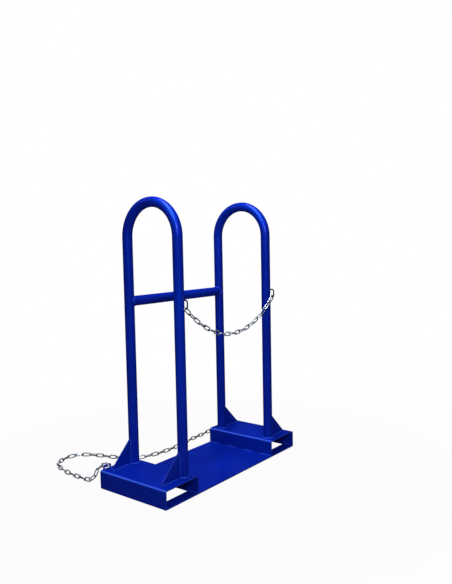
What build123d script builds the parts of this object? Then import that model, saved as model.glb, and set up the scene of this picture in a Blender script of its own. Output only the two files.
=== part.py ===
from build123d import *
import math
import os

# Fork-mounted bracket that carries two gas cylinders. Millimetres, +Z up, -Y is the open front,
# +Y faces the lift truck. The origin is the centre of the base's underside.

# Base: two folded fork pockets with the cylinder floor between them
bay_width = 520.0  # clear width between the pockets, where the cylinders stand
pocket_width = 180.0  # clear width inside a fork pocket
base_depth = 370.0
base_height = 76.0
sheet = 5.0
fold_radius = 4.0  # inside radius of the pockets' two folds
floor_thickness = 6.0
strap_width = 50.0
strap_thickness = 6.0

# Hoops, rear cross bar and gussets
tube_diameter = 42.4
tube_wall = 3.0
hoop_top = 1190.0  # above the underside
hoop_inset = 40.0  # from a pocket's inner face to the leg's centre
leg_inset = 45.0  # from the front or rear edge to the leg's centre
rail_height = 764.0  # centre of the cross bar and of the chain staples
gusset_height = 104.0
gusset_thickness = 6.0
gusset_margin = 24.0  # from the gusset's toe to the base's end
gusset_toe = 5.0  # blunt height of the toe and of the tip

# Chain staples on the front legs
staple_bar = 6.0
staple_height = 41.0  # overall
staple_reach = 25.0  # from the leg's surface to the staple's outer face
staple_bend = 9.0  # centreline radius

# Chain eyes on the rear edge
eye_bar = 8.0
eye_width = 42.0  # overall
eye_rise = 17.0  # from the deck to the bar's centre
eye_bend = 7.0  # centreline radius
eye_edge_gap = 9.0  # from the rear edge to the bar's centre
eye_end_gap = 30.0  # from the base's end to the eye's centre

# Chain links
wire = 5.0
link_width = 20.0
link_pitch = 35.0
link_play = 0.5  # free play between two links
wire_sides = 8
end_flats = 4  # flats along each round end of a link
retaining_slack = 1.14  # chain length over the span between the staples
rear_chain_length = 1600.0

# Snap hooks
hook_length = 60.0  # overall
hook_bar = 6.0
hook_large_radius = 9.5  # centreline, at the staple end
hook_small_radius = 6.5  # centreline, at the chain end
hook_play = 0.5  # between the hook and what it holds
gate_bar = 5.4
gate_gap = 0.5  # between the gate and the nose
gate_start = 8.0  # from the small end's tangent point to the rivet
nose_slant = 20.0  # degrees, so that the gate swings inward past the nose
nose_setback = 3.5  # from the large end's tangent point back to the gap
tongue = 2.4
tongue_play = 0.2
rivet_diameter = 2.5
rivet_play = 0.06
rivet_head = 1.9  # radius
rivet_head_thickness = 0.7

# How the rear chain lies on the ground behind the base
lead_droop = 18.0  # degrees below level, where it leaves an eye over the rear edge
lead_splay = 4.0  # degrees away from the middle
drop_run = 60.0  # from the lead's end back to the touchdown
loop_width = 240.0

# Places worked out from the sizes above
tube_radius = tube_diameter / 2
channel_width = pocket_width + 2 * sheet
base_end = bay_width / 2 + channel_width
hoop_x = bay_width / 2 + hoop_inset
leg_y = base_depth / 2 - leg_inset
arch_spring = hoop_top - tube_radius - leg_y
eye_x = base_end - eye_end_gap
eye_y = base_depth / 2 - eye_edge_gap
eye_z = base_height + eye_rise
bend_y = -(leg_y + tube_radius + staple_reach - staple_bar / 2 - staple_bend)
staple_drop = (staple_height - staple_bar) / 2
link_length = link_pitch + 2 * wire + link_play
link_reach = (link_length - wire - link_pitch) / 2  # from a joint on to the end wire's centre
hook_ease = hook_small_radius - (hook_bar + wire) / 2 - hook_play  # and to the hook's small end
lying_height = (link_width - wire) / 2 * math.sin(math.radians(45)) + wire / 2
sides = (("left", -1), ("right", 1))
rows = (("front", -1), ("rear", 1))


def fork_pocket():
    # Folded channel, open below and at both ends, drawn for the +X side.
    middle = bay_width / 2 + channel_width / 2
    outer = Pos(middle, base_height / 2) * Rectangle(channel_width, base_height)
    outer = fillet(outer.vertices().group_by(Axis.Y)[-1], fold_radius + sheet)
    inner_height = base_height - sheet
    inner = Pos(middle, inner_height / 2) * Rectangle(pocket_width, inner_height)
    inner = fillet(inner.vertices().group_by(Axis.Y)[-1], fold_radius)
    return extrude(Plane.XZ * (outer - inner), base_depth / 2, both=True)


def round_bar(path, diameter):
    # Round bar of the given diameter along a path.
    start = Plane(path @ 0, z_dir=path % 0)
    return sweep(start * Circle(diameter / 2), path=path)


def hoop(diameter):
    # One hoop's outline, filled, drawn for the +X side.
    foot = Line((hoop_x, -leg_y, base_height), (hoop_x, -leg_y, arch_spring))
    arch = ThreePointArc(
        (hoop_x, -leg_y, arch_spring),
        (hoop_x, 0, arch_spring + leg_y),
        (hoop_x, leg_y, arch_spring),
    )
    back = Line((hoop_x, leg_y, arch_spring), (hoop_x, leg_y, base_height))
    return round_bar(Wire([foot, arch, back]), diameter)


def gusset(y):
    # Triangular plate from the leg's outer side down to the deck, drawn for the +X side.
    near = hoop_x
    far = base_end - gusset_margin
    tip = hoop_x + tube_radius
    low = base_height
    outline = Polyline(
        (near, low),
        (far, low),
        (far, low + gusset_toe),
        (tip + gusset_toe, low + gusset_height),
        (near, low + gusset_height),
        close=True,
    )
    plate = extrude(Plane.XZ * make_face(outline), gusset_thickness / 2, both=True)
    return Pos(0, y, 0) * plate


def staple():
    # U of round bar on the front of a leg, drawn for the +X side, its prongs run into the leg.
    front = bend_y - staple_bend
    top = rail_height + staple_drop
    bottom = rail_height - staple_drop
    path = FilletPolyline(
        (hoop_x, -leg_y, top),
        (hoop_x, front, top),
        (hoop_x, front, bottom),
        (hoop_x, -leg_y, bottom),
        radius=staple_bend,
    )
    return round_bar(path, staple_bar)


def rear_eye():
    # U of round bar standing on the deck's rear edge, drawn for the +X side.
    half = (eye_width - eye_bar) / 2
    path = FilletPolyline(
        (eye_x - half, eye_y, base_height),
        (eye_x - half, eye_y, eye_z),
        (eye_x + half, eye_y, eye_z),
        (eye_x + half, eye_y, base_height),
        radius=eye_bend,
    )
    return round_bar(path, eye_bar)


def chain_link():
    # One oval link in the XY plane, long along X. Its wire is drawn with flats.
    bend = (link_width - wire) / 2
    reach = (link_length - link_width) / 2
    stations = []
    for end in (0, 180):
        for step in range(end_flats + 1):
            turn = math.radians(end - 90 + 180 * step / end_flats)
            outward = Vector(math.cos(turn), math.sin(turn), 0)
            centre = Vector(reach if end == 0 else -reach, 0, 0) + outward * bend
            stations.append((centre, outward))
    rings = []
    for centre, outward in stations:
        ring = []
        for side in range(wire_sides):
            angle = 2 * math.pi * (side + 0.5) / wire_sides
            offset = outward * math.cos(angle) + Vector(0, 0, math.sin(angle))
            ring.append(centre + offset * (wire / 2))
        rings.append(ring)
    faces = []
    for index, ring in enumerate(rings):
        following = rings[(index + 1) % len(rings)]
        for side in range(wire_sides):
            other = (side + 1) % wire_sides
            corners = [ring[side], following[side], following[other], ring[other]]
            faces.append(Face(Wire.make_polygon(corners, close=True)))
    return Solid(Shell(faces))


def snap_hook():
    # Body, gate and rivet in the XY plane: the small end's centre at the origin, the large end
    # towards +X and the gate on the +Y side.
    reach = hook_length - hook_bar - hook_large_radius - hook_small_radius
    lean = math.degrees(math.asin((hook_large_radius - hook_small_radius) / reach))
    side = Vector(-math.sin(math.radians(lean)), math.cos(math.radians(lean)))
    along = Vector(side.Y, -side.X)
    far = Vector(reach, 0)
    spine = Vector(side.X, -side.Y)
    pivot = side * hook_small_radius + along * gate_start
    nose = far + side * hook_large_radius - along * nose_setback
    path = Wire(
        [
            Line(pivot, side * hook_small_radius),
            ThreePointArc(
                side * hook_small_radius, (-hook_small_radius, 0), spine * hook_small_radius
            ),
            Line(spine * hook_small_radius, far + spine * hook_large_radius),
            ThreePointArc(
                far + spine * hook_large_radius,
                far + Vector(hook_large_radius, 0),
                far + side * hook_large_radius,
            ),
            Line(far + side * hook_large_radius, nose - along * hook_bar),
        ]
    )
    shoulder = gate_bar / 2 + gate_gap
    big = 4 * hook_bar
    at_pivot = Plane(pivot, x_dir=along, z_dir=(0, 0, 1))
    slab = at_pivot * Box(big, big, tongue)
    body = round_bar(path, hook_bar)
    body -= at_pivot * Cylinder(shoulder, big) - slab
    body += at_pivot * Cylinder(gate_bar / 2, tongue)
    body -= at_pivot * Cylinder(rivet_diameter / 2, big)
    cut_plane = Plane(nose, x_dir=along.rotate(Axis.Z, nose_slant), z_dir=(0, 0, 1))
    behind_nose = cut_plane * Pos(-big / 2, 0) * Box(big, big, big)
    reach_of_gate = (nose - pivot).length + big
    keep = at_pivot * Pos(big, 0) * Box(reach_of_gate, big, big)
    body -= behind_nose & keep
    gate_path = Line(pivot, nose + along * hook_bar)
    gate = round_bar(gate_path, gate_bar) + Pos(pivot) * Sphere(gate_bar / 2)
    gate &= cut_plane * Pos(-reach_of_gate / 2 - gate_gap, 0) * Box(reach_of_gate, big, big)
    slot = gate_bar / 2 + gate_gap
    gate -= at_pivot * Pos((slot - big) / 2, 0) * Box(slot + big, big, tongue + 2 * tongue_play)
    gate -= at_pivot * Cylinder(rivet_diameter / 2 + rivet_play, big)
    grip = gate_bar / 2 + tongue_play
    rivet = at_pivot * Cylinder(rivet_diameter / 2, 2 * grip)
    for way in (-1, 1):
        head = Pos(0, 0, way * (grip + rivet_head_thickness / 2))
        rivet += at_pivot * head * Cylinder(rivet_head, rivet_head_thickness)
    return {"body": body, "gate": gate, "rivet": rivet}


def hook_hold(bar):
    # From the hook's small-end centre to a bar held in its large end.
    return hook_length - 1.5 * hook_bar - hook_small_radius - hook_play - bar / 2


def chain_ends(bar):
    # What a chain's first half link and its hook add to its links' pitches.
    first = link_length / 2 - wire - bar / 2 - hook_play
    return first - link_pitch / 2 + link_reach + hook_ease + hook_hold(bar)


def lay_chain(at, length, count, bar, across, roll):
    # Links at their pitch along a path, the first round a bar and the last in a snap hook.
    # The spare is how far the path's end lies beyond the hook's hold.
    first = link_length / 2 - wire - bar / 2 - hook_play
    link = chain_link()
    links = []
    for index in range(count):
        middle = first + index * link_pitch
        start = at(max(0, middle - link_pitch / 2))
        end = at(middle + link_pitch / 2)
        along = (end - start).normalized()
        turn = roll(middle, length) + 90 * (index % 2)
        normal = across(along).rotate(Axis((0, 0, 0), along), turn)
        place = Plane(end - along * link_pitch / 2, x_dir=along, z_dir=normal)
        links.append(link.moved(Location(place)))
    end_wire = end + along * link_reach
    left_over = at(length) - end_wire
    along = left_over.normalized()
    place = Plane(end_wire + along * hook_ease, x_dir=along, z_dir=across(along))
    return links, place, left_over.length - hook_ease - hook_hold(bar)


def hanging_chain():
    # The retaining chain hangs as a catenary in the plane of the staples' lower bends.
    span = 2 * hoop_x
    low_bar = rail_height - staple_drop
    ends = chain_ends(staple_bar)
    count = 2 * round((span * retaining_slack - ends) / (2 * link_pitch))
    length = ends + count * link_pitch
    low, high = span / 20, span * 20
    for _ in range(60):
        scale = (low + high) / 2
        if 2 * scale * math.asinh(length / (2 * scale)) < span:
            low = scale
        else:
            high = scale

    def at(distance):
        run = distance - length / 2
        rise = math.hypot(scale, run) - math.hypot(scale, length / 2)
        return Vector(scale * math.asinh(run / scale), bend_y, low_bar + rise)

    return lay_chain(at, length, count, staple_bar, lambda along: Vector(0, -1, 0), lambda *_: 0)


def rear_path(reach):
    # From the left eye down to the ground, round one loose loop and back up to the right eye.
    eye = Vector(-eye_x, eye_y, eye_z)
    lead = Vector(0, hook_ease + hook_hold(eye_bar) + link_reach, 0)
    lead = lead.rotate(Axis.X, -lead_droop).rotate(Axis.Z, lead_splay)
    low = eye + lead
    run_y = low.Y + drop_run
    ground = lying_height
    knee = Vector(low.X - 4, low.Y + 0.45 * drop_run, ground + 0.4 * (low.Z - ground))
    left = [eye, eye + lead / 2, low, knee, Vector(low.X - 8, run_y, ground)]
    loop = [
        (low.X - 6, run_y + 0.5 * reach, ground),
        (low.X + 0.2 * loop_width, run_y + 0.93 * reach, ground),
        (low.X + 0.6 * loop_width, run_y + reach, ground),
        (low.X + 0.95 * loop_width, run_y + 0.6 * reach, ground),
        (low.X + 1.25 * loop_width, run_y + 0.12 * reach, ground),
        (low.X + 1.7 * loop_width, run_y - 4, ground),
        (0.3 * eye_x, run_y - 8, ground),
        (0.72 * eye_x, run_y + 10, ground),
    ]
    right = [Vector(-spot.X, spot.Y, spot.Z) for spot in reversed(left)]
    return Spline(left + loop + right)


def fitted_path(length):
    # The route whose loop reaches as far as this length needs.
    low, high = 20.0, rear_chain_length
    for _ in range(30):
        reach = (low + high) / 2
        if rear_path(reach).length < length:
            low = reach
        else:
            high = reach
    return rear_path(reach)


def lying_chain():
    # The rear chain lies on the ground, and its route's length is corrected until the hook holds.
    count = 2 * round((rear_chain_length - chain_ends(eye_bar)) / (2 * link_pitch))

    def at(distance):
        spot = path.position_at(distance / path.length)
        return Vector(spot.X, spot.Y, max(spot.Z, lying_height))

    def upright(along):
        return along.cross(Vector(0, 0, 1)).normalized()

    def roll(distance, length):
        # Square to the eyes at both ends, on the edges of both kinds of link along the ground.
        near_end = min(distance, length - distance)
        return 45 * min(1, max(0, near_end - hook_length) / (2 * link_pitch))

    length = count * link_pitch + chain_ends(eye_bar)
    for _ in range(3):
        path = fitted_path(length)
        chain = lay_chain(at, path.length, count, eye_bar, upright, roll)
        length -= chain[2]
    return chain


os.makedirs("parts", exist_ok=True)
nodes = {}
nodes["floor_plate"] = Pos(0, 0, floor_thickness / 2) * Box(bay_width, base_depth, floor_thickness)

pocket = fork_pocket()
solid_hoop = hoop(tube_diameter)
bent_tube = solid_hoop - hoop(tube_diameter - 2 * tube_wall)
front_staple = staple() - solid_hoop
eye = rear_eye()
pocket_x = bay_width / 2 + channel_width / 2
strap = Box(pocket_width, strap_width, strap_thickness)
for name, side in sides:
    parts = {
        "fork_pocket": pocket,
        "hoop": bent_tube,
        "chain_staple": front_staple,
        "rear_eye": eye,
    }
    for row, way in rows:
        strap_y = way * (base_depth - strap_width) / 2
        parts[row + "_strap"] = Pos(pocket_x, strap_y, strap_thickness / 2) * strap
        parts[row + "_gusset"] = gusset(way * leg_y) - solid_hoop
    for part_name, part in parts.items():
        nodes[f"{name}_{part_name}"] = part if side > 0 else mirror(part, about=Plane.YZ)

bar_path = Line((-hoop_x, leg_y, rail_height), (hoop_x, leg_y, rail_height))
cross_bar = round_bar(bar_path, tube_diameter) - round_bar(bar_path, tube_diameter - 2 * tube_wall)
nodes["rear_cross_bar"] = cross_bar - solid_hoop - mirror(solid_hoop, about=Plane.YZ)

hook = snap_hook()
for name, (links, place, _) in (("retaining", hanging_chain()), ("rear", lying_chain())):
    nodes[f"{name}_chain_links"] = Compound(links)
    for part_name, part in hook.items():
        nodes[f"{name}_hook_{part_name}"] = place * part

for name, part in nodes.items():
    export_step(part, f"parts/{name}.step")
    print(name, len(part.solids()), round(part.volume))
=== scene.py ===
import bpy
import bmesh
import math
from mathutils import Matrix, Vector


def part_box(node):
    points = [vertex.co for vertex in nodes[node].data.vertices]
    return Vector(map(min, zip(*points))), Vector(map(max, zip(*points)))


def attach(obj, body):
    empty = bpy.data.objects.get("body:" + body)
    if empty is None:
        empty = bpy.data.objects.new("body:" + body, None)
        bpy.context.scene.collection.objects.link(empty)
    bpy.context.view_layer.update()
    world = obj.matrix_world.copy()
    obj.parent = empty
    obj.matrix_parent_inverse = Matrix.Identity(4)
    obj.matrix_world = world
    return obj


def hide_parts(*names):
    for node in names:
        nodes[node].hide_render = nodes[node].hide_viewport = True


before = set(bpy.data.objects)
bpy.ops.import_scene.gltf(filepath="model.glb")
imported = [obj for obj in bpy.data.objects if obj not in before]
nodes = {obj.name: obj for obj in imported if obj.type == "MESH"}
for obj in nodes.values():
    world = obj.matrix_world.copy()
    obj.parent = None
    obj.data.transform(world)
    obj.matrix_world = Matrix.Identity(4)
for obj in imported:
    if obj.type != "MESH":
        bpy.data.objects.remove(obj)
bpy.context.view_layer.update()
print("frame loaded:", len(nodes), "nodes")


def nodeBox(name):
    low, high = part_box(name)
    return Vector(low), Vector(high)


def meshObject(name, verts, faces, material, smooth=True):
    mesh = bpy.data.meshes.new(name)
    mesh.from_pydata([tuple(v) for v in verts], [], faces)
    mesh.validate()
    mesh.polygons.foreach_set("use_smooth", [smooth] * len(mesh.polygons))
    mesh.materials.append(material)
    obj = bpy.data.objects.new(name, mesh)
    bpy.context.scene.collection.objects.link(obj)
    return obj


def addTube(base, count, around, closed, faces):
    # quads between rings of vertices, the first ring starting at base
    for index in range(count if closed else count - 1):
        here = base + index * around
        following = base + (index + 1) % count * around
        for side in range(around):
            other = (side + 1) % around
            faces.append((here + side, here + other, following + other, following + side))


def faceOutward(mesh):
    bm = bmesh.new()
    bm.from_mesh(mesh)
    bmesh.ops.recalc_face_normals(bm, faces=bm.faces)
    bm.to_mesh(mesh)
    bm.free()


def addNode(tree, kind, inputs=None, **options):
    # the options come first, because some of them decide which inputs a node has
    node = tree.nodes.new(kind)
    for key, value in options.items():
        setattr(node, key, value)
    for label, value in (inputs or {}).items():
        node.inputs[label].default_value = value
    return node


def newGroup(name, inputs, outputs):
    # a shader node group of floats, with its input and output nodes
    tree = bpy.data.node_groups.new(name, "ShaderNodeTree")
    for label, value in inputs.items():
        socket = tree.interface.new_socket(label, in_out="INPUT", socket_type="NodeSocketFloat")
        socket.default_value = value
    for label in outputs:
        tree.interface.new_socket(label, in_out="OUTPUT", socket_type="NodeSocketFloat")
    return tree, tree.nodes.new("NodeGroupInput"), tree.nodes.new("NodeGroupOutput")


def newMaterial(name):
    material = bpy.data.materials.new(name)
    material.use_nodes = True
    return material, material.node_tree, material.node_tree.nodes["Principled BSDF"]


# lighter edges: rub on the zinc, a thin coat and a painted highlight on the paint
edgeRubAndHighlight = {
    "radius": 0.0025,
    "start": 0.02,  # 1 minus the cosine of the turn at which the lighter edge begins
    "full": 0.22,
    "samples": 6,
    "patchScale": 60.0,
    "patchAmount": 0.5,
    "patchDetail": 3.0,
    "patchRange": (0.4, 0.62),
}


def makeEdgeGroup(spec):
    # 1 along rounded-over edges and corners, broken up by noise, and 0 on flats
    inputs = {
        "Radius": spec["radius"],
        "Start": spec["start"],
        "Patch Scale": spec["patchScale"],
        "Patch Amount": spec["patchAmount"],
    }
    tree, inp, out = newGroup("edgeRubAndHighlight", inputs, ["Mask"])
    link = tree.links.new
    bevel = addNode(tree, "ShaderNodeBevel", samples=spec["samples"])
    link(inp.outputs["Radius"], bevel.inputs["Radius"])
    geometry = addNode(tree, "ShaderNodeNewGeometry")
    dot = addNode(tree, "ShaderNodeVectorMath", operation="DOT_PRODUCT")
    link(bevel.outputs["Normal"], dot.inputs[0])
    link(geometry.outputs["Normal"], dot.inputs[1])
    turned = addNode(tree, "ShaderNodeMath", {0: 1.0}, operation="SUBTRACT")
    link(dot.outputs["Value"], turned.inputs[1])
    full = {"From Max": spec["full"]}
    spread = addNode(tree, "ShaderNodeMapRange", full, interpolation_type="SMOOTHSTEP")
    link(turned.outputs[0], spread.inputs["Value"])
    link(inp.outputs["Start"], spread.inputs["From Min"])
    place = addNode(tree, "ShaderNodeTexCoord")
    patches = addNode(tree, "ShaderNodeTexNoise", {"Detail": spec["patchDetail"]})
    link(place.outputs["Object"], patches.inputs["Vector"])
    link(inp.outputs["Patch Scale"], patches.inputs["Scale"])
    low, high = spec["patchRange"]
    broken = addNode(tree, "ShaderNodeMapRange", {"From Min": low, "From Max": high})
    link(patches.outputs["Fac"], broken.inputs["Value"])
    kept = addNode(tree, "ShaderNodeMath", {0: 1.0}, operation="SUBTRACT")
    link(inp.outputs["Patch Amount"], kept.inputs[1])
    link(kept.outputs[0], broken.inputs["To Min"])
    mask = addNode(tree, "ShaderNodeMath", operation="MULTIPLY", use_clamp=True)
    link(spread.outputs["Result"], mask.inputs[0])
    link(broken.outputs["Result"], mask.inputs[1])
    link(mask.outputs[0], out.inputs["Mask"])
    return tree


twoNoises = {"scales": {"Broad": 6.0, "Fine": 500.0}, "details": {"Broad": 4.0, "Fine": 1.0}}


def makeNoiseGroup(spec):
    # slow and fine noise of one surface, both about 0.5, for colour, roughness and bump
    inputs = {label + " Scale": scale for label, scale in spec["scales"].items()}
    tree, inp, out = newGroup("twoNoises", inputs, list(spec["details"]))
    link = tree.links.new
    place = addNode(tree, "ShaderNodeTexCoord")
    for label, detail in spec["details"].items():
        noise = addNode(tree, "ShaderNodeTexNoise", {"Detail": detail})
        link(place.outputs["Object"], noise.inputs["Vector"])
        link(inp.outputs[label + " Scale"], noise.inputs["Scale"])
        link(noise.outputs["Fac"], out.inputs[label])
    return tree


# darkening where little open space is near, a painted shade
creviceShading = {
    "distance": 0.006,
    "samples": 8,
    "clean": 0.92,  # share of open space round a spot that has no painted shade
    "full": 0.50,
}


def makeCreviceShadeGroup(spec):
    # painted shade: 1 deep in corners, between touching pieces and near the floor, 0 in the
    # open
    tree, inp, out = newGroup("creviceShading", {"Distance": spec["distance"]}, ["Mask"])
    link = tree.links.new
    cover = addNode(tree, "ShaderNodeAmbientOcclusion", samples=spec["samples"])
    link(inp.outputs["Distance"], cover.inputs["Distance"])
    span = {"From Min": spec["clean"], "From Max": spec["full"]}
    deep = addNode(tree, "ShaderNodeMapRange", span, interpolation_type="SMOOTHSTEP")
    link(cover.outputs["AO"], deep.inputs["Value"])
    link(deep.outputs["Result"], out.inputs["Mask"])
    return tree


edgeGroup = makeEdgeGroup(edgeRubAndHighlight)
noiseGroup = makeNoiseGroup(twoNoises)
creviceShadeGroup = makeCreviceShadeGroup(creviceShading)


def mixColor(tree, base, color, factor):
    mix = addNode(tree, "ShaderNodeMix", {"B": color}, data_type="RGBA")
    tree.links.new(base, mix.inputs["A"])
    tree.links.new(factor, mix.inputs["Factor"])
    return mix.outputs["Result"]


def rubAndHighlightColor(tree, noises, edges, spec):
    # two tones spread by the broad noise, with lighter edges over them: rub on the zinc, a thin
    # coat and a painted highlight on the paint
    shade = addNode(tree, "ShaderNodeValToRGB")
    for stop, place, tone in zip(shade.color_ramp.elements, spec["toneStops"], spec["tones"]):
        stop.position = place
        stop.color = tone
    tree.links.new(noises.outputs["Broad"], shade.inputs["Fac"])
    return mixColor(tree, shade.outputs["Color"], spec["edge"], edges.outputs["Mask"])


def addRelief(tree, shader, noises, spec):
    # the broad noise varies the roughness, the fine noise is the grain
    link = tree.links.new
    smoothest, roughest = spec["roughness"]
    rough = addNode(tree, "ShaderNodeMapRange", {"To Min": smoothest, "To Max": roughest})
    link(noises.outputs["Broad"], rough.inputs["Value"])
    link(rough.outputs["Result"], shader.inputs["Roughness"])
    grain = {"Strength": spec["grainStrength"], "Distance": spec["grainDepth"]}
    bump = addNode(tree, "ShaderNodeBump", grain)
    link(noises.outputs["Fine"], bump.inputs["Height"])
    link(bump.outputs["Normal"], shader.inputs["Normal"])


powderCoat = {
    "tones": ((0.0010, 0.0085, 0.190, 1), (0.0014, 0.0120, 0.250, 1)),  # ultramarine
    "toneStops": (0.35, 0.68),
    "edge": (0.030, 0.062, 0.33, 1),  # thin coat along edges, and a painted highlight there
    "edgePatches": 0.35,
    "bend": (0.030, 0.085, 0.56, 1),  # painted highlight along the pockets' folds
    "foldHighlightAmount": 0.0,
    "foldHighlightRange": (0.20, 0.50),
    "roughness": (0.32, 0.44),
    "metallic": 0.22,
    "glossTint": (0.10, 0.45, 1.0, 1),
    "coat": 0.06,
    "coatRoughness": 0.22,
    "broadScale": 5.0,
    "grainScale": 420.0,
    "grainStrength": 0.6,
    "grainDepth": 0.00006,
}
# the pockets' paint, with a painted highlight on its folds
foldHighlightCoat = dict(powderCoat, foldHighlightAmount=0.75)
# the weld beads' paint is the frame's blue made lighter, a painted highlight along the beads
weldHighlightCoat = dict(powderCoat, tones=((0.006, 0.024, 0.30, 1), (0.012, 0.040, 0.40, 1)))
# the staples' paint is the frame's blue darkened, a painted shade
stapleShadeCoat = dict(
    powderCoat,
    tones=((0.0008, 0.0055, 0.040, 1), (0.0010, 0.0075, 0.055, 1)),
    edge=(0.006, 0.018, 0.10, 1),
)


def foldHighlightMask(tree, spec):
    # the surface is a fold where it faces both sideways and up or down; the paint there is
    # lighter, a painted highlight
    link = tree.links.new
    place = addNode(tree, "ShaderNodeTexCoord")
    facing = addNode(tree, "ShaderNodeSeparateXYZ")
    link(place.outputs["Normal"], facing.inputs["Vector"])
    both = addNode(tree, "ShaderNodeMath", operation="MULTIPLY")
    link(facing.outputs["X"], both.inputs[0])
    link(facing.outputs["Z"], both.inputs[1])
    size = addNode(tree, "ShaderNodeMath", operation="ABSOLUTE")
    link(both.outputs[0], size.inputs[0])
    low, high = spec["foldHighlightRange"]
    span = {"From Min": low, "From Max": high, "To Max": spec["foldHighlightAmount"]}
    fold = addNode(tree, "ShaderNodeMapRange", span, interpolation_type="SMOOTHSTEP")
    link(size.outputs[0], fold.inputs["Value"])
    return fold.outputs["Result"]


def makePowderCoat(name, spec):
    material, tree, shader = newMaterial(name)
    scales = {"Broad Scale": spec["broadScale"], "Fine Scale": spec["grainScale"]}
    noises = addNode(tree, "ShaderNodeGroup", scales, node_tree=noiseGroup)
    patches = {"Patch Amount": spec["edgePatches"]}
    edges = addNode(tree, "ShaderNodeGroup", patches, node_tree=edgeGroup)
    paint = rubAndHighlightColor(tree, noises, edges, spec)
    # lighter paint over the folds, a painted highlight
    if spec["foldHighlightAmount"]:
        paint = mixColor(tree, paint, spec["bend"], foldHighlightMask(tree, spec))
    tree.links.new(paint, shader.inputs["Base Color"])
    addRelief(tree, shader, noises, spec)
    shader.inputs["Specular IOR Level"].default_value = 0.0
    shader.inputs["Specular Tint"].default_value = spec["glossTint"]
    shader.inputs["Metallic"].default_value = spec["metallic"]
    shader.inputs["Coat Weight"].default_value = spec["coat"]
    shader.inputs["Coat Roughness"].default_value = spec["coatRoughness"]
    return material


chainPlate = {
    "tones": ((0.12, 0.15, 0.20, 1), (0.36, 0.41, 0.50, 1)),
    "toneStops": (0.3, 0.6),
    "edge": (0.60, 0.66, 0.78, 1),
    "edgeRadius": 0.0008,
    "edgeStart": 0.06,  # above the slight facets of the round wire
    "paintedShade": (0.012, 0.018, 0.032, 1),  # painted shade inside and between the links
    "paintedShadeReach": 0.016,
    "roughness": (0.18, 0.38),
    "metallic": 0.95,
    "broadScale": 90.0,
    "grainScale": 900.0,
    "grainStrength": 0.4,
    "grainDepth": 0.00004,
}
# the hooks carry the same painted shade, over a shorter reach
hookPlate = dict(chainPlate, paintedShadeReach=0.006, roughness=(0.16, 0.32), broadScale=60.0)


def makeZinc(name, spec):
    material, tree, shader = newMaterial(name)
    scales = {"Broad Scale": spec["broadScale"], "Fine Scale": spec["grainScale"]}
    noises = addNode(tree, "ShaderNodeGroup", scales, node_tree=noiseGroup)
    rub = {"Radius": spec["edgeRadius"], "Start": spec["edgeStart"]}
    edges = addNode(tree, "ShaderNodeGroup", rub, node_tree=edgeGroup)
    reach = {"Distance": spec["paintedShadeReach"]}
    shadeMask = addNode(tree, "ShaderNodeGroup", reach, node_tree=creviceShadeGroup)
    metal = rubAndHighlightColor(tree, noises, edges, spec)
    # painted shade in the crevices and between the links
    metal = mixColor(tree, metal, spec["paintedShade"], shadeMask.outputs["Mask"])
    tree.links.new(metal, shader.inputs["Base Color"])
    addRelief(tree, shader, noises, spec)
    shader.inputs["Metallic"].default_value = spec["metallic"]
    return material


bluePaint = makePowderCoat("bluePowderCoat", powderCoat)
# the pockets' paint carries the painted highlight on the folds
foldHighlightPaint = makePowderCoat("foldedSheetHighlightCoat", foldHighlightCoat)
# the weld beads' paint is lighter, a painted highlight
weldHighlightPaint = makePowderCoat("weldBeadHighlightCoat", weldHighlightCoat)
# the staples' paint is darker, a painted shade
stapleShadePaint = makePowderCoat("shadedStapleCoat", stapleShadeCoat)
chainZinc = makeZinc("chainZinc", chainPlate)
hookZinc = makeZinc("hookZinc", hookPlate)
finishes = {  # by a word in the node's name, blue paint for the rest
    "hook": hookZinc,
    "chain_links": chainZinc,
    "fork_pocket": foldHighlightPaint,
    "staple": stapleShadePaint,
}
for name, obj in nodes.items():
    finish = next((paint for word, paint in finishes.items() if word in name), bluePaint)
    for spot in obj.material_slots:
        spot.material = finish
print("materials made")


linkShape = {
    "wire": 0.005,
    "trim": 0.00016,  # each round link lies this far inside the faceted one
    "around": 14,  # sides of the wire
    "bendSteps": 9,  # steps round each end
    "seamSwell": 0.07,  # how much thicker the wire is at its butt weld
    "seam": (  # places along the butt weld, and the share of the swell there
        (0.0026, 0), (0.0016, 1), (0.0005, 0.35), (-0.0005, 0.35), (-0.0016, 1), (-0.0026, 0),
    ),
    "weldGap": 1e-6,  # vertices nearer than this are one
    "axisSteps": 12,
}


def looseParts(mesh):
    # vertex positions of each separate link in a node's mesh
    bm = bmesh.new()
    bm.from_mesh(mesh)
    bmesh.ops.remove_doubles(bm, verts=bm.verts, dist=linkShape["weldGap"])
    seen, parts = set(), []
    for start in bm.verts:
        if start in seen:
            continue
        seen.add(start)
        stack, part = [start], []
        while stack:
            vert = stack.pop()
            part.append(vert.co.copy())
            for edge in vert.link_edges:
                other = edge.other_vert(vert)
                if other not in seen:
                    seen.add(other)
                    stack.append(other)
        parts.append(part)
    bm.free()
    return parts


def longestWay(offsets, way):
    # power steps settle on the direction in which the offsets spread the most
    for _ in range(linkShape["axisSteps"]):
        total = Vector()
        for offset in offsets:
            total += offset * offset.dot(way)
        way = total.normalized()
    return way


def linkFrame(points):
    # centre, long and wide directions, length and width of one link
    centre = sum(points, Vector()) / len(points)
    offsets = [point - centre for point in points]
    farthest = max(offsets, key=lambda offset: offset.length)
    long = longestWay(offsets, farthest.normalized())
    across = [offset - long * offset.dot(long) for offset in offsets]
    wide = longestWay(across, long.orthogonal())
    length = 2 * max(abs(offset.dot(long)) for offset in offsets)
    width = 2 * max(abs(offset.dot(wide)) for offset in offsets)
    return centre, long, wide, length, width


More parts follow.
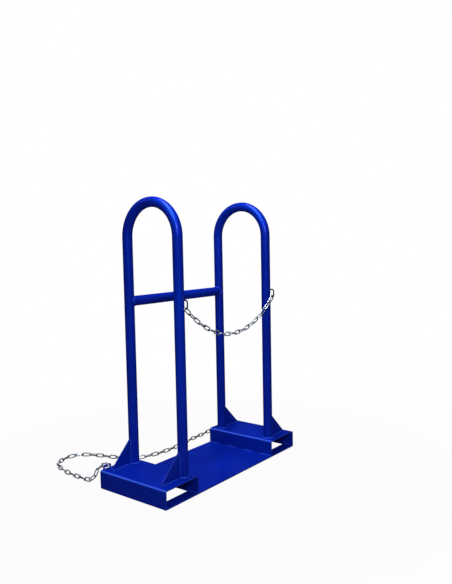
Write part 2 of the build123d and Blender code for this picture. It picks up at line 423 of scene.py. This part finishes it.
def roundLink(centre, long, wide, length, width, spec, verts, faces):
    # one welded link, swept from round wire, added to verts and faces
    flat = long.cross(wide)
    radius = spec["wire"] / 2 - spec["trim"] / 2
    bend = width / 2 - radius - spec["trim"]
    straight = length / 2 - width / 2
    stations = []
    for way in (1, -1):
        for step in range(spec["bendSteps"] + 1):
            turn = math.radians(-90 + 180 * step / spec["bendSteps"])
            out = (long * math.cos(turn) + wide * math.sin(turn)) * way
            stations.append((centre + long * straight * way + out * bend, out, 1.0))
        if way == 1:  # the butt weld sits halfway along one side
            for shift, swell in spec["seam"]:
                spot = centre + wide * bend + long * shift
                stations.append((spot, wide, 1.0 + swell * spec["seamSwell"]))
    base = len(verts)
    around = spec["around"]
    for spot, out, size in stations:
        for side in range(around):
            angle = 2 * math.pi * side / around
            offset = out * math.cos(angle) + flat * math.sin(angle)
            verts.append(spot + offset * radius * size)
    addTube(base, len(stations), around, True, faces)


def makeRoundChain(node, body):
    verts, faces = [], []
    links = looseParts(nodes[node].data)
    for points in links:
        roundLink(*linkFrame(points), linkShape, verts, faces)
    chain = meshObject(node.replace("_links", "_round_links"), verts, faces, chainZinc)
    faceOutward(chain.data)
    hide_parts(node)
    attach(chain, body)
    print(node, "drawn as", len(links), "round links,", len(faces) * 2, "triangles")


makeRoundChain("retaining_chain_links", "retaining_chain")
makeRoundChain("rear_chain_links", "rear_chain")


bead = {
    "ripple": 0.0042,  # spacing of the ripples along a bead
    "rippleDepth": 0.16,  # share of the bead's radius
    "endSize": 0.25,  # share of the radius left at an open end
    "step": 0.0011,
    "around": 8,
}


def resample(points, step, closed):
    # points at an even spacing along a polyline, and its length
    route = list(points) + ([points[0]] if closed else [])
    lengths = [0.0]
    for a, b in zip(route, route[1:]):
        lengths.append(lengths[-1] + (b - a).length)
    count = max(4, round(lengths[-1] / step))
    spots, leg = [], 0
    for index in range(count if closed else count + 1):
        want = lengths[-1] * index / count
        while leg < len(route) - 2 and lengths[leg + 1] < want:
            leg += 1
        share = (want - lengths[leg]) / max(1e-9, lengths[leg + 1] - lengths[leg])
        spots.append(route[leg].lerp(route[leg + 1], min(1, share)))
    return spots, lengths[-1]


def addBead(points, radius, verts, faces, closed=False):
    # a rippled bead along the points, its ends drawn in
    spots, total = resample(points, bead["step"], closed)
    count = len(spots)
    ripples = max(1, round(total / bead["ripple"]))
    base = len(verts)
    around = bead["around"]
    side = None
    for index, spot in enumerate(spots):
        before = spots[index - 1] if closed or index else spot
        after = spots[(index + 1) % count] if closed or index < count - 1 else spot
        along = (after - before).normalized()
        if side is None:
            side = along.orthogonal().normalized()
        side = (side - along * side.dot(along)).normalized()
        up = along.cross(side)
        share = index / (count if closed else count - 1)
        wave = abs(math.sin(math.pi * share * ripples))
        size = radius * (1 - bead["rippleDepth"] * (1 - wave) ** 2)
        if not closed:
            near = min(1, min(share, 1 - share) * total / radius)
            size *= bead["endSize"] + (1 - bead["endSize"]) * math.sqrt(near)
        for turn in range(around):
            angle = 2 * math.pi * turn / around
            verts.append(spot + (side * math.cos(angle) + up * math.sin(angle)) * size)
    addTube(base, count, around, closed, faces)
    if not closed:
        faces.append(tuple(base + turn for turn in reversed(range(around))))
        faces.append(tuple(base + (count - 1) * around + turn for turn in range(around)))


def weldPiece(name, runs):
    # runs: (points, bead radius, closed)
    verts, faces = [], []
    for points, radius, closed in runs:
        addBead(points, radius, verts, faces, closed)
    # the beads take the lighter paint, their painted highlight
    piece = meshObject(name, verts, faces, weldHighlightPaint)
    faceOutward(piece.data)
    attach(piece, "frame")
    return len(faces)


def ring(centre, radius, normal, count):
    normal = Vector(normal)
    side = normal.orthogonal().normalized()
    up = normal.cross(side)
    spots = []
    for index in range(count):
        angle = 2 * math.pi * index / count
        spots.append(centre + (side * math.cos(angle) + up * math.sin(angle)) * radius)
    return spots


# places and sizes on the right half, which the left half mirrors
hoopLow, hoopHigh = nodeBox("right_hoop")
tubeRadius = (hoopHigh.x - hoopLow.x) / 2
hoopX = (hoopHigh.x + hoopLow.x) / 2
legY = hoopHigh.y - tubeRadius
deck = hoopLow.z
pocketLow, pocketHigh = nodeBox("right_fork_pocket")
bayEdge = pocketLow.x
pocketEnd = pocketHigh.y
floorTop = nodeBox("floor_plate")[1].z
gussetLow, gussetHigh = nodeBox("right_front_gusset")
plateHalf = (gussetHigh.y - gussetLow.y) / 2
stapleLow, stapleHigh = nodeBox("right_chain_staple")
stapleRadius = (stapleHigh.x - stapleLow.x) / 2
eyeLow, eyeHigh = nodeBox("right_rear_eye")
eyeRadius = (eyeHigh.y - eyeLow.y) / 2
barZ = nodeBox("rear_cross_bar")[1].z - tubeRadius

# radius of each bead; rise and spread move its middle off the corner, in radii
footWeld = {"radius": 0.0034, "rise": 0.45, "spread": 0.35, "steps": 48}
gussetWeld = {
    "radius": 0.0026,
    "rise": 0.3,
    "bottom": 0.006,  # gaps at the ends of the upright and the flat bead
    "top": 0.004,
    "near": 0.004,
    "far": 0.002,
}
stapleWeld = {"radius": 0.0018, "rise": 0.1, "spread": 0.4, "steps": 24}
eyeWeld = {"radius": 0.0020, "rise": 0.25, "spread": 0.4, "steps": 24}
barWeld = {"radius": 0.0030, "rise": 0.25, "spread": 0.2, "steps": 96}
floorWeld = {"radius": 0.0024, "rise": 0.3, "inset": 0.004, "stitches": 4, "length": 0.055}
strapWeld = {"radius": 0.0024, "rise": 0.2, "spread": 0.3, "inset": 0.003}


def footRuns(side, way, spec):
    size = spec["radius"]
    centre = Vector((side * hoopX, way * legY, deck + size * spec["rise"]))
    reach = tubeRadius + size * spec["spread"]
    return [(ring(centre, reach, (0, 0, 1), spec["steps"]), size, True)]


def gussetRuns(side, way, spec):
    # up the leg and out along the deck, on both faces of the gusset
    size = spec["radius"]
    rise = size * spec["rise"]
    near = hoopX + math.sqrt(tubeRadius ** 2 - (plateHalf + size) ** 2) + rise
    upright = ((near, deck + spec["bottom"]), (near, gussetHigh.z - spec["top"]))
    along = ((near + spec["near"], deck + rise), (gussetHigh.x - spec["far"], deck + rise))
    runs = []
    for face in (-1, 1):
        y = way * legY + face * (plateHalf + rise)
        for ends in (upright, along):
            runs.append(([Vector((side * x, y, z)) for x, z in ends], size, False))
    return runs


def stapleRuns(side, spec):
    size = spec["radius"]
    y = -legY - tubeRadius - size * spec["rise"]
    reach = stapleRadius + size * spec["spread"]
    prongs = [Vector((side * hoopX, y, z))
              for z in (stapleLow.z + stapleRadius, stapleHigh.z - stapleRadius)]
    return [(ring(prong, reach, (0, 1, 0), spec["steps"]), size, True) for prong in prongs]


def eyeRuns(side, spec):
    size = spec["radius"]
    y = (eyeLow.y + eyeHigh.y) / 2
    reach = eyeRadius + size * spec["spread"]
    feet = [Vector((side * x, y, deck + size * spec["rise"]))
            for x in (eyeLow.x + eyeRadius, eyeHigh.x - eyeRadius)]
    return [(ring(foot, reach, (0, 0, 1), spec["steps"]), size, True) for foot in feet]


def barRuns(side, spec):
    # all round the saddle where the coped bar meets the leg
    size = spec["radius"]
    reach = tubeRadius + size * spec["spread"]
    saddle = []
    for index in range(spec["steps"]):
        angle = 2 * math.pi * index / spec["steps"]
        x = hoopX - abs(math.sin(angle)) * tubeRadius - size * spec["rise"]
        y = legY + reach * math.cos(angle)
        saddle.append(Vector((side * x, y, barZ + reach * math.sin(angle))))
    return [(saddle, size, True)]


def floorRuns(side, spec):
    # stitches along the floor where it meets the pocket
    size = spec["radius"]
    x = side * (bayEdge - size * spec["rise"])
    z = floorTop + size * spec["rise"]
    spacing = (2 * pocketEnd - 2 * spec["inset"] - spec["length"]) / (spec["stitches"] - 1)
    starts = [-pocketEnd + spec["inset"] + index * spacing for index in range(spec["stitches"])]
    return [([Vector((x, start, z)), Vector((x, start + spec["length"], z))], size, False)
            for start in starts]


def strapRuns(side, spec):
    # inside the pocket, along both ends of each strap
    size = spec["radius"]
    runs = []
    for row in ("front", "rear"):
        low, high = nodeBox(f"right_{row}_strap")
        z = high.z + size * spec["rise"]
        ends = (low.y + spec["inset"], high.y - spec["inset"])
        for wall in (low.x + size * spec["spread"], high.x - size * spec["spread"]):
            runs.append(([Vector((side * wall, y, z)) for y in ends], size, False))
    return runs


faceCount = 0
for label, side in (("left", -1), ("right", 1)):
    for row, way in (("front", -1), ("rear", 1)):
        runs = footRuns(side, way, footWeld) + gussetRuns(side, way, gussetWeld)
        faceCount += weldPiece(f"{label}_{row}_foot_welds", runs)
    faceCount += weldPiece(f"{label}_staple_welds", stapleRuns(side, stapleWeld))
    faceCount += weldPiece(f"{label}_eye_welds", eyeRuns(side, eyeWeld))
    faceCount += weldPiece(f"{label}_bar_weld", barRuns(side, barWeld))
    runs = floorRuns(side, floorWeld) + strapRuns(side, strapWeld)
    faceCount += weldPiece(f"{label}_base_welds", runs)
print("weld beads:", faceCount, "faces")


studio = {
    "floorColor": (0.15, 0.15, 0.15, 1),
    "floorRoughness": 0.9,
    "floorReach": 60,
    "floorDrop": 0.0006,
    "fadeStart": 0.6,  # the floor fades to white away from the object
    "fadeEnd": 1.9,
    "veil": 0.96,  # how far the floor near the object is lifted to white
    "ambient": 0.04,
    "glossLevel": 0.15,  # how bright the surroundings are in reflections
}


def brightRays(tree, spec):
    # 1 for the camera's rays, the gloss level for reflections and 0 for the rest
    link = tree.links.new
    rays = addNode(tree, "ShaderNodeLightPath")
    shine = addNode(tree, "ShaderNodeMath", {1: spec["glossLevel"]}, operation="MULTIPLY")
    link(rays.outputs["Is Glossy Ray"], shine.inputs[0])
    seen = addNode(tree, "ShaderNodeMath", operation="ADD", use_clamp=True)
    link(rays.outputs["Is Camera Ray"], seen.inputs[0])
    link(shine.outputs[0], seen.inputs[1])
    return rays, seen.outputs[0]


def makeFloor(spec):
    material, tree, shader = newMaterial("paleFloor")
    link = tree.links.new
    shader.inputs["Base Color"].default_value = spec["floorColor"]
    shader.inputs["Roughness"].default_value = spec["floorRoughness"]
    shader.inputs["Specular IOR Level"].default_value = 0.0
    white = addNode(tree, "ShaderNodeEmission", {"Color": (1, 1, 1, 1)})
    place = addNode(tree, "ShaderNodeNewGeometry")
    flat = addNode(tree, "ShaderNodeVectorMath", {1: (1, 1, 0)}, operation="MULTIPLY")
    link(place.outputs["Position"], flat.inputs[0])
    reach = addNode(tree, "ShaderNodeVectorMath", operation="LENGTH")
    link(flat.outputs["Vector"], reach.inputs[0])
    span = {"From Min": spec["fadeStart"], "From Max": spec["fadeEnd"], "To Min": spec["veil"]}
    fade = addNode(tree, "ShaderNodeMapRange", span, interpolation_type="SMOOTHSTEP")
    link(reach.outputs["Value"], fade.inputs["Value"])
    seen = brightRays(tree, spec)[1]
    amount = addNode(tree, "ShaderNodeMath", operation="MULTIPLY")
    link(fade.outputs["Result"], amount.inputs[0])
    link(seen, amount.inputs[1])
    mix = addNode(tree, "ShaderNodeMixShader")
    link(amount.outputs[0], mix.inputs[0])
    link(shader.outputs[0], mix.inputs[1])
    link(white.outputs[0], mix.inputs[2])
    link(mix.outputs[0], tree.nodes["Material Output"].inputs["Surface"])
    far = spec["floorReach"]
    verts = [(-far, -far, 0), (far, -far, 0), (far, far, 0), (-far, far, 0)]
    floor = meshObject("studio_floor", verts, [(0, 1, 2, 3)], material, smooth=False)
    floor.location.z = -spec["floorDrop"]


def makeWorld(spec):
    world = bpy.data.worlds.new("studio")
    world.use_nodes = True
    bpy.context.scene.world = world
    tree = world.node_tree
    link = tree.links.new
    backdrop = tree.nodes["Background"]
    backdrop.inputs["Color"].default_value = (1, 1, 1, 1)
    rays, seen = brightRays(tree, spec)
    through = addNode(tree, "ShaderNodeMath", operation="ADD", use_clamp=True)
    link(seen, through.inputs[0])
    link(rays.outputs["Is Transmission Ray"], through.inputs[1])
    level = addNode(tree, "ShaderNodeMapRange", {"To Min": spec["ambient"], "To Max": 1.0})
    link(through.outputs[0], level.inputs["Value"])
    link(level.outputs["Result"], backdrop.inputs["Strength"])


lamps = {
    "sky": {"place": (-0.25, 0.0, 3.2), "aim": (-0.1, 0.0, 0.6), "size": 1.2, "power": 126.0},
    "key": {"place": (-2.5, -2.7, 2.3), "aim": (0, 0, 0.5), "size": 1.1, "power": 172.0},
    "fill": {"place": (2.8, -2.2, 1.8), "aim": (0, 0, 0.5), "size": 1.6, "power": 3.0},
    "rim": {"place": (-1.9, 2.5, 2.6), "aim": (0, 0, 0.4), "size": 0.7, "power": 10.0},
    "back": {"place": (2.3, 1.9, 1.5), "aim": (0, 0, 0.6), "size": 1.2, "power": 50.0,
             "glossy": False},
    "sheen": {"place": (-1.5, -0.9, 3.4), "aim": (-0.3, -0.1, 1.1), "size": 2.2, "power": 480.0,
              "diffuse": False, "color": (0.42, 1.0, 0.47)},  # along the hoops' bends
}


def areaLight(name, spec):
    data = bpy.data.lights.new(name, "AREA")
    data.size = spec["size"]
    data.energy = spec["power"]
    data.color = spec.get("color", (1, 1, 1))
    place = Vector(spec["place"])
    lamp = bpy.data.objects.new(name, data)
    lamp.location = place
    lamp.rotation_euler = (Vector(spec["aim"]) - place).to_track_quat("-Z", "Y").to_euler()
    lamp.visible_glossy = spec.get("glossy", True)
    lamp.visible_diffuse = spec.get("diffuse", True)
    bpy.context.scene.collection.objects.link(lamp)
    return lamp


makeFloor(studio)
makeWorld(studio)
lights = {name: areaLight(name, spec) for name, spec in lamps.items()}
hoops = bpy.data.collections.new("sheenHoops")
for name in ("left_hoop", "right_hoop"):
    hoops.objects.link(nodes[name])
lights["sheen"].light_linking.receiver_collection = hoops

shot = {
    "place": (-2.06059, -1.75137, 0.99618),
    "azimuth": -51.95,  # degrees, 0 looks along +Y
    "pitch": 4.50,  # downward
    "roll": -1.11,
    "focalPixels": 613.72,
    "longSidePixels": 584,
    "sensor": 36.0,
    "clip": (0.05, 200),
}


def makeCamera(spec):
    turn, down, roll = (math.radians(spec[key]) for key in ("azimuth", "pitch", "roll"))
    right = Vector((math.cos(turn), math.sin(turn), 0))
    level = Vector((-math.sin(turn), math.cos(turn), 0))
    ahead = level * math.cos(down) - Vector((0, 0, math.sin(down)))
    up = right.cross(ahead)
    rolledRight = right * math.cos(roll) + up * math.sin(roll)
    rolledUp = up * math.cos(roll) - right * math.sin(roll)
    data = bpy.data.cameras.new("mainCamera")
    data.sensor_width = spec["sensor"]
    data.lens = spec["focalPixels"] / spec["longSidePixels"] * spec["sensor"]
    data.clip_start, data.clip_end = spec["clip"]
    camera = bpy.data.objects.new("mainCamera", data)
    columns = Matrix((rolledRight, rolledUp, -ahead)).transposed()
    camera.matrix_world = Matrix.Translation(spec["place"]) @ columns.to_4x4()
    bpy.context.scene.collection.objects.link(camera)
    bpy.context.scene.camera = camera


makeCamera(shot)
bpy.context.scene.view_settings.view_transform = "Standard"
print("studio ready")
